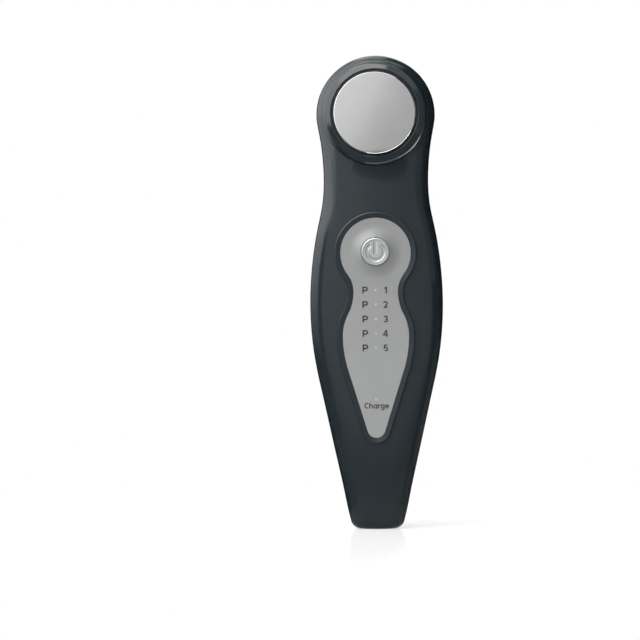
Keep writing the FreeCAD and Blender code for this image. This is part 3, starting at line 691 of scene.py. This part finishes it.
def mirror_mask(tree, place):
    """Share of mirror image in the floor, in a long oval in front of the foot."""
    split = add_node(tree, "ShaderNodeSeparateXYZ")
    aside = add_node(tree, "ShaderNodeMath", {1: 1 / mirror_aside}, operation="MULTIPLY")
    before = add_node(tree, "ShaderNodeMath", {1: -1 / mirror_before}, operation="MULTIPLY")
    behind = add_node(tree, "ShaderNodeMath", {1: 1 / mirror_behind}, operation="MULTIPLY")
    along = add_node(tree, "ShaderNodeMath", operation="MAXIMUM")
    spot = add_node(tree, "ShaderNodeCombineXYZ")
    spread = add_node(tree, "ShaderNodeVectorMath", operation="LENGTH")
    gloss = add_node(tree, "ShaderNodeMapRange", {
        "From Min": mirror_core, "From Max": 1.0, "To Min": mirror_share, "To Max": 0.0},
        interpolation_type="SMOOTHSTEP")
    join(tree, place, "Object", split, "Vector")
    join(tree, split, "X", aside, 0)
    join(tree, split, "Y", before, 0)
    join(tree, split, "Y", behind, 0)
    join(tree, before, "Value", along, 0)
    join(tree, behind, "Value", along, 1)
    join(tree, aside, "Value", spot, "X")
    join(tree, along, "Value", spot, "Y")
    join(tree, spot, "Vector", spread, 0)
    join(tree, spread, "Value", gloss, "Value")
    return gloss


def blank_finish(name):
    """A material that holds only its output."""
    finish = bpy.data.materials.new(name)
    finish.use_nodes = True
    finish.node_tree.nodes.clear()
    return finish, finish.node_tree, add_node(finish.node_tree, "ShaderNodeOutputMaterial")


def mix_shaders(tree, mask, mask_exit, first, second):
    """One shader where a mask is 0, and another where it is 1."""
    mixed = add_node(tree, "ShaderNodeMixShader")
    join(tree, mask, mask_exit, mixed, "Fac")
    join(tree, first, 0, mixed, 1)
    join(tree, second, 0, mixed, 2)
    return mixed


def make_floor_finish():
    """White with a shadow and a mirror image near the foot, and matt for light that isn't seen."""
    finish, tree, surface = blank_finish("floor_sweep")
    place = add_node(tree, "ShaderNodeTexCoord")
    away = add_node(tree, "ShaderNodeVectorMath", operation="LENGTH")
    fade = add_node(tree, "ShaderNodeMapRange", {"From Min": fade_start, "From Max": fade_end},
                    interpolation_type="SMOOTHSTEP")
    matt = add_node(tree, "ShaderNodeBsdfDiffuse", {"Color": floor_pale})
    shadowed = add_node(tree, "ShaderNodeBsdfDiffuse", {"Color": shadow_grey})
    glow = add_node(tree, "ShaderNodeEmission", {"Color": white, "Strength": floor_glow})
    lit = add_node(tree, "ShaderNodeAddShader")
    mirror = add_node(tree, "ShaderNodeBsdfGlossy", {"Color": white, "Roughness": mirror_blur})
    plain = add_node(tree, "ShaderNodeEmission", {"Color": white, "Strength": 1.0})
    join(tree, place, "Object", away, 0)
    join(tree, away, "Value", fade, "Value")
    join(tree, shadowed, "BSDF", lit, 0)
    join(tree, glow, "Emission", lit, 1)
    near = mix_shaders(tree, mirror_mask(tree, place), "Result", lit, mirror)
    sweep = mix_shaders(tree, fade, "Result", near, plain)
    shown = mix_shaders(tree, seen_mask(tree), "Value", matt, sweep)
    join(tree, shown, "Shader", surface, "Surface")
    return finish


def rectangle(width, height):
    """Corners of a rectangle about its middle."""
    return [(width * u, height * v) for u, v in ((-0.5, -0.5), (0.5, -0.5), (0.5, 0.5), (-0.5, 0.5))]


def flat_sheet(name, outline):
    """A flat sheet with an outline about its own origin."""
    mesh = bpy.data.meshes.new(name)
    mesh.from_pydata([(u, v, 0) for u, v in outline], [], [tuple(range(len(outline)))])
    return add_object(name, mesh)


floor = flat_sheet("floor", rectangle(2 * floor_reach, 2 * floor_reach))
floor.location.z = cad_low.z
floor.data.materials.append(make_floor_finish())

world = bpy.data.worlds.new("studio")
world.use_nodes = True
bpy.context.scene.world = world
tree = world.node_tree
background = tree.nodes["Background"]
background.inputs["Color"].default_value = white
level = add_node(tree, "ShaderNodeMapRange", {"To Min": fill_level, "To Max": 1.0})
join(tree, seen_mask(tree), "Value", level, "Value")
join(tree, level, "Result", background, "Strength")

# Soft boxes
# Two large lamps behind white cloth: the key in front, above and to the left, and one high over the
# left shoulder. Both stand out of the picture.
aim = (cad_low + cad_high) / 2
straight_up = (0, 0, 1)


def place_facing(made, centre, facing, roll=0):
    """Puts a thing at a centre with its own Z along facing, turned by roll about that line."""
    made.location = centre
    made.rotation_mode = "QUATERNION"
    made.rotation_quaternion = Vector(facing).to_track_quat("Z", "Y") @ Quaternion(straight_up, roll)


def round_place(azimuth, elevation):
    """Direction from the object. Azimuth 0 is in front, 90 at its right."""
    turn = math.radians(azimuth)
    rise = math.radians(elevation)
    return Vector((math.sin(turn) * math.cos(rise), -math.cos(turn) * math.cos(rise), math.sin(rise)))


def soft_box(name, azimuth, elevation, distance, width, height, brightness):
    """A rectangular lamp of a given brightness, in which 1 shows as white. It shines along its -Z."""
    lamp = bpy.data.lights.new(name, "AREA")
    lamp.shape = "RECTANGLE"
    lamp.size = width
    lamp.size_y = height
    lamp.energy = brightness * math.pi * width * height
    made = add_object(name, lamp)
    away = round_place(azimuth, elevation)
    place_facing(made, aim + away * distance, away)
    made.visible_camera = False


soft_box("key_box", azimuth=-38, elevation=42, distance=0.8, width=0.95, height=0.75, brightness=4.5)
soft_box("top_box", azimuth=-112, elevation=74, distance=0.8, width=1.2, height=1.3, brightness=1.6)

# Left screen
# A translucent sheet bent round the left of the object and lit from behind, brightest beside the face.
# It fades downwards and towards the back, with a sharper edge at the neck on the side near the front.
screen_radius = 0.15
screen_top = 0.40
screen_levels = [(-158, 0.4), (-148, 0.5), (-128, 1.2), (-108, 2.2), (-88, 3.2), (-68, 3.8), (-44, 3.6)]
side_fade = (0.05, 0.19)
head_fade = (0.142, 0.152)
fade_change = (-62, -60)
screen_heights = sorted((0.0, screen_top) + side_fade + head_fade)


def show_in_reflections(made, brightness=1.0):
    """Makes a sheet seen only in reflections, from the side that it faces, and returns its glow."""
    finish, tree, surface = blank_finish(made.name)
    side = add_node(tree, "ShaderNodeNewGeometry")
    glow = add_node(tree, "ShaderNodeEmission", {"Color": white, "Strength": brightness})
    clear = add_node(tree, "ShaderNodeBsdfTransparent")
    either = mix_shaders(tree, side, "Backfacing", glow, clear)
    join(tree, either, "Shader", surface, "Surface")
    made.data.materials.append(finish)
    made.visible_camera = False
    made.visible_diffuse = False
    made.visible_shadow = False
    made.visible_transmission = False
    return tree, glow


def progress(value, ends):
    """How far a value has come from one end to the other, from 0 to 1."""
    return min(max((value - ends[0]) / (ends[1] - ends[0]), 0), 1)


def screen_glow(azimuth, height):
    """Brightness of the screen at a place."""
    for (first, low), (last, high) in zip(screen_levels, screen_levels[1:]):
        if first <= azimuth <= last:
            level = low + (high - low) * progress(azimuth, (first, last))
    side = progress(height, side_fade)
    change = progress(azimuth, fade_change)
    return level * (side + (progress(height, head_fade) - side) * change)


def bent_screen(name):
    """The screen's sheet, with its brightness painted on its points."""
    azimuths = range(screen_levels[0][0], screen_levels[-1][0] + 1)
    places = [(azimuth, height) for azimuth in azimuths for height in screen_heights]
    rows = len(screen_heights)
    faces = [(c * rows + r, c * rows + r + 1, c * rows + rows + r + 1, c * rows + rows + r)
             for c in range(len(azimuths) - 1) for r in range(rows - 1)]
    mesh = bpy.data.meshes.new(name)
    mesh.from_pydata([round_place(azimuth, 0) * screen_radius + Vector((0, 0, height))
                      for azimuth, height in places], [], faces)
    levels = mesh.attributes.new("glow", "FLOAT", "POINT")
    levels.data.foreach_set("value", [screen_glow(azimuth, height) for azimuth, height in places])
    return add_object(name, mesh)


tree, glow = show_in_reflections(bent_screen("left_screen"))
painted = add_node(tree, "ShaderNodeAttribute", attribute_name="glow")
join(tree, painted, "Fac", glow, "Strength")

# Reflection cards
# Pale, grey and black boards that show only in reflections, as a studio uses to shape dark plastic and
# metal. Two stand in front, with a leaning edge between them that crosses the plate. The aprons lie on
# the floor, and the rim card and the neck flag hang close to the collar.
straight_back = (0, 1, 0)
straight_ahead = (0, -1, 0)
straight_left = (-1, 0, 0)
rim_facing = (0, -0.67, 0.74)
apron_rise = 0.5 * millimetre
split_lean = math.radians(29)
split_point = Vector((-0.055, -1.5, 0.266))
split_width = 1.5
split_height = 2.6
split_across = Vector((math.cos(split_lean), 0, -math.sin(split_lean)))
split_middle = split_point - split_across * split_width / 2
oval_points = 48


def oval(width, height):
    """Points round an oval about its middle."""
    turns = [2 * math.pi * i / oval_points for i in range(oval_points)]
    return [(width / 2 * math.cos(turn), height / 2 * math.sin(turn)) for turn in turns]


def card(name, outline, centre, facing, brightness, roll=0):
    """A flat card of one brightness."""
    made = flat_sheet(name, outline)
    place_facing(made, centre, facing, roll)
    show_in_reflections(made, brightness)


card("front_card_left", rectangle(split_width, split_height), split_middle, straight_back,
     brightness=0.79, roll=split_lean)
card("front_card_right", rectangle(1.9, 2.2), (0.2, -1.6, 0.2), straight_back, brightness=0.46)
for name, azimuth, elevation, distance, width, height, brightness in (
        ("right_card", 62, 0, 1.0, 0.9, 1.6, 0.28),
        ("top_card", 40, 48, 0.9, 0.35, 0.6, 1.2),
        ("right_flag", 110, 10, 0.9, 1.3, 1.6, 0.0),
        ("top_right_flag", 110, 52, 1.2, 2.4, 2.4, 0.0)):
    away = round_place(azimuth, elevation)
    card(name, rectangle(width, height), aim + away * distance, -away, brightness)
for name, centre, facing, width, height, brightness in (
        ("rear_left_flag", (-0.0575, 0.10, 0.1275), straight_ahead, 0.055, 0.135, 0.0),
        ("rear_right_flag", (0.265, 0.10, 0.33), straight_ahead, 0.47, 0.54, 0.0),
        ("near_apron", (0, -0.03, apron_rise), straight_up, 3.0, 0.06, 0.4),
        ("front_apron", (0, -0.23, apron_rise), straight_up, 3.0, 0.34, 0.22),
        ("far_apron", (0, -1.0, apron_rise), straight_up, 3.0, 1.2, 0.5),
        ("left_apron", (-0.765, 1.47, apron_rise), straight_up, 1.47, 3.06, 0.0),
        ("foot_apron", (0.002, 0.15, apron_rise), straight_up, 0.064, 0.30, 0.1),
        ("right_low_flag", (0.034, 0.115, 0.05), straight_left, 0.27, 0.10, 0.0),
        ("low_right_card", (0.193, 0.09, apron_rise), straight_up, 0.314, 0.22, 5.5),
        ("rim_card", (0.009, -0.0165, 0.128), rim_facing, 0.035, 0.0108, 2.6)):
    card(name, rectangle(width, height), centre, facing, brightness)
card("neck_flag", oval(0.036, 0.010), (0.004, -0.035, 0.1460), straight_back, brightness=0.05)

# Camera
# Stands level with the middle of the handle, a little to the right, as in the photograph.
# Its angle of view comes from where the crown, the foot and the middle line fall in the picture.
picture_size = 640
crown_pixel = 56.1
foot_pixel = 528.2
middle_pixel = 376.7
camera_distance = 1.24
camera_yaw = math.radians(2.8)
camera_roll = math.radians(0.32)
metres_per_pixel = (cad_high.z - cad_low.z) / (foot_pixel - crown_pixel)
ahead = Vector((-math.sin(camera_yaw), math.cos(camera_yaw), 0))
right = Vector((math.cos(camera_yaw), math.sin(camera_yaw), 0))
eye_level = Vector((0, 0, cad_low.z + (foot_pixel - picture_size / 2) * metres_per_pixel))
sideways = (middle_pixel - picture_size / 2) * metres_per_pixel
view = bpy.data.cameras.new("photo_camera")
view.angle = 2 * math.atan(picture_size / 2 * metres_per_pixel / camera_distance)
view.clip_start = 0.01
camera = add_object("photo_camera", view)
camera.location = eye_level - ahead * camera_distance - right * sideways
camera.rotation_euler = (math.pi / 2, camera_roll, camera_yaw)
bpy.context.scene.camera = camera
bpy.context.scene.view_settings.view_transform = "Standard"
